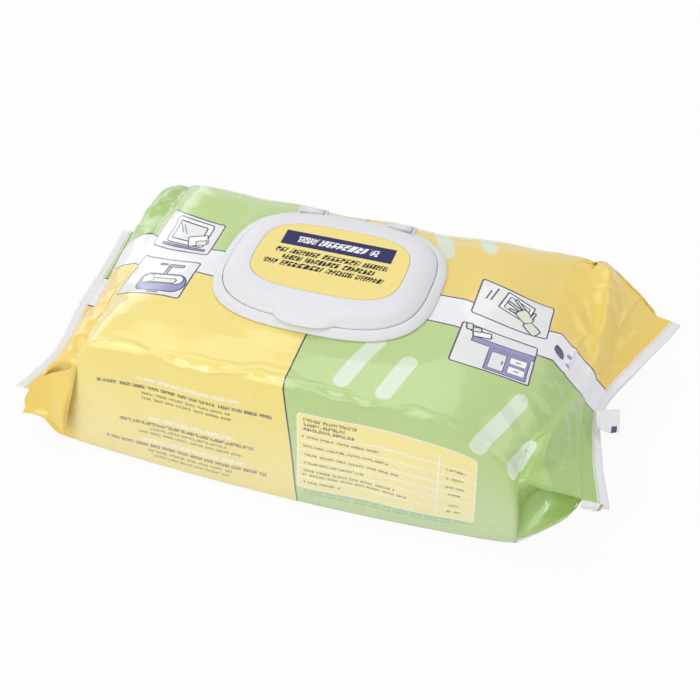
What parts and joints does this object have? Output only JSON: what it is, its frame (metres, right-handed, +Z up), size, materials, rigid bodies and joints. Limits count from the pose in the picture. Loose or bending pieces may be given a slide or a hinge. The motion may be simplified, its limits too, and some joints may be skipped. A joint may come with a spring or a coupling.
{
  "type": "wet wipes pack",
  "caption": "Soft flow-wrapped pack of wet wipes lying flat, with crimped end seals and a hinged dispensing lid on top.",
  "frame": {"origin": "on the underside, below the middle of the stack of wipes, at the height of the table", "axes": "+X along the pack, +Y towards the hinge side of the lid, +Z up through the lid"},
  "size_m": [0.2834, 0.1426, 0.075],
  "materials": {
    "film": "glossy printed film",
    "frame_plastic": "satin moulded",
    "lid_plastic": "satin moulded",
    "label": "satin printed label",
    "seal": "satin film"
  },
  "bodies": {
    "pack": {"film_pack": "film", "lid_frame": "frame_plastic", "peel_seal": "seal"},
    "lid": {"lid": "lid_plastic", "lid_label": "label"}
  },
  "joints": [
    {"name": "lid_hinge", "type": "hinge", "parent": "pack", "child": "lid", "pos_m": [-0.003, 0.0402, 0.0706], "axis": [-1, 0, 0], "range_deg": [0, 105]}
  ]
}
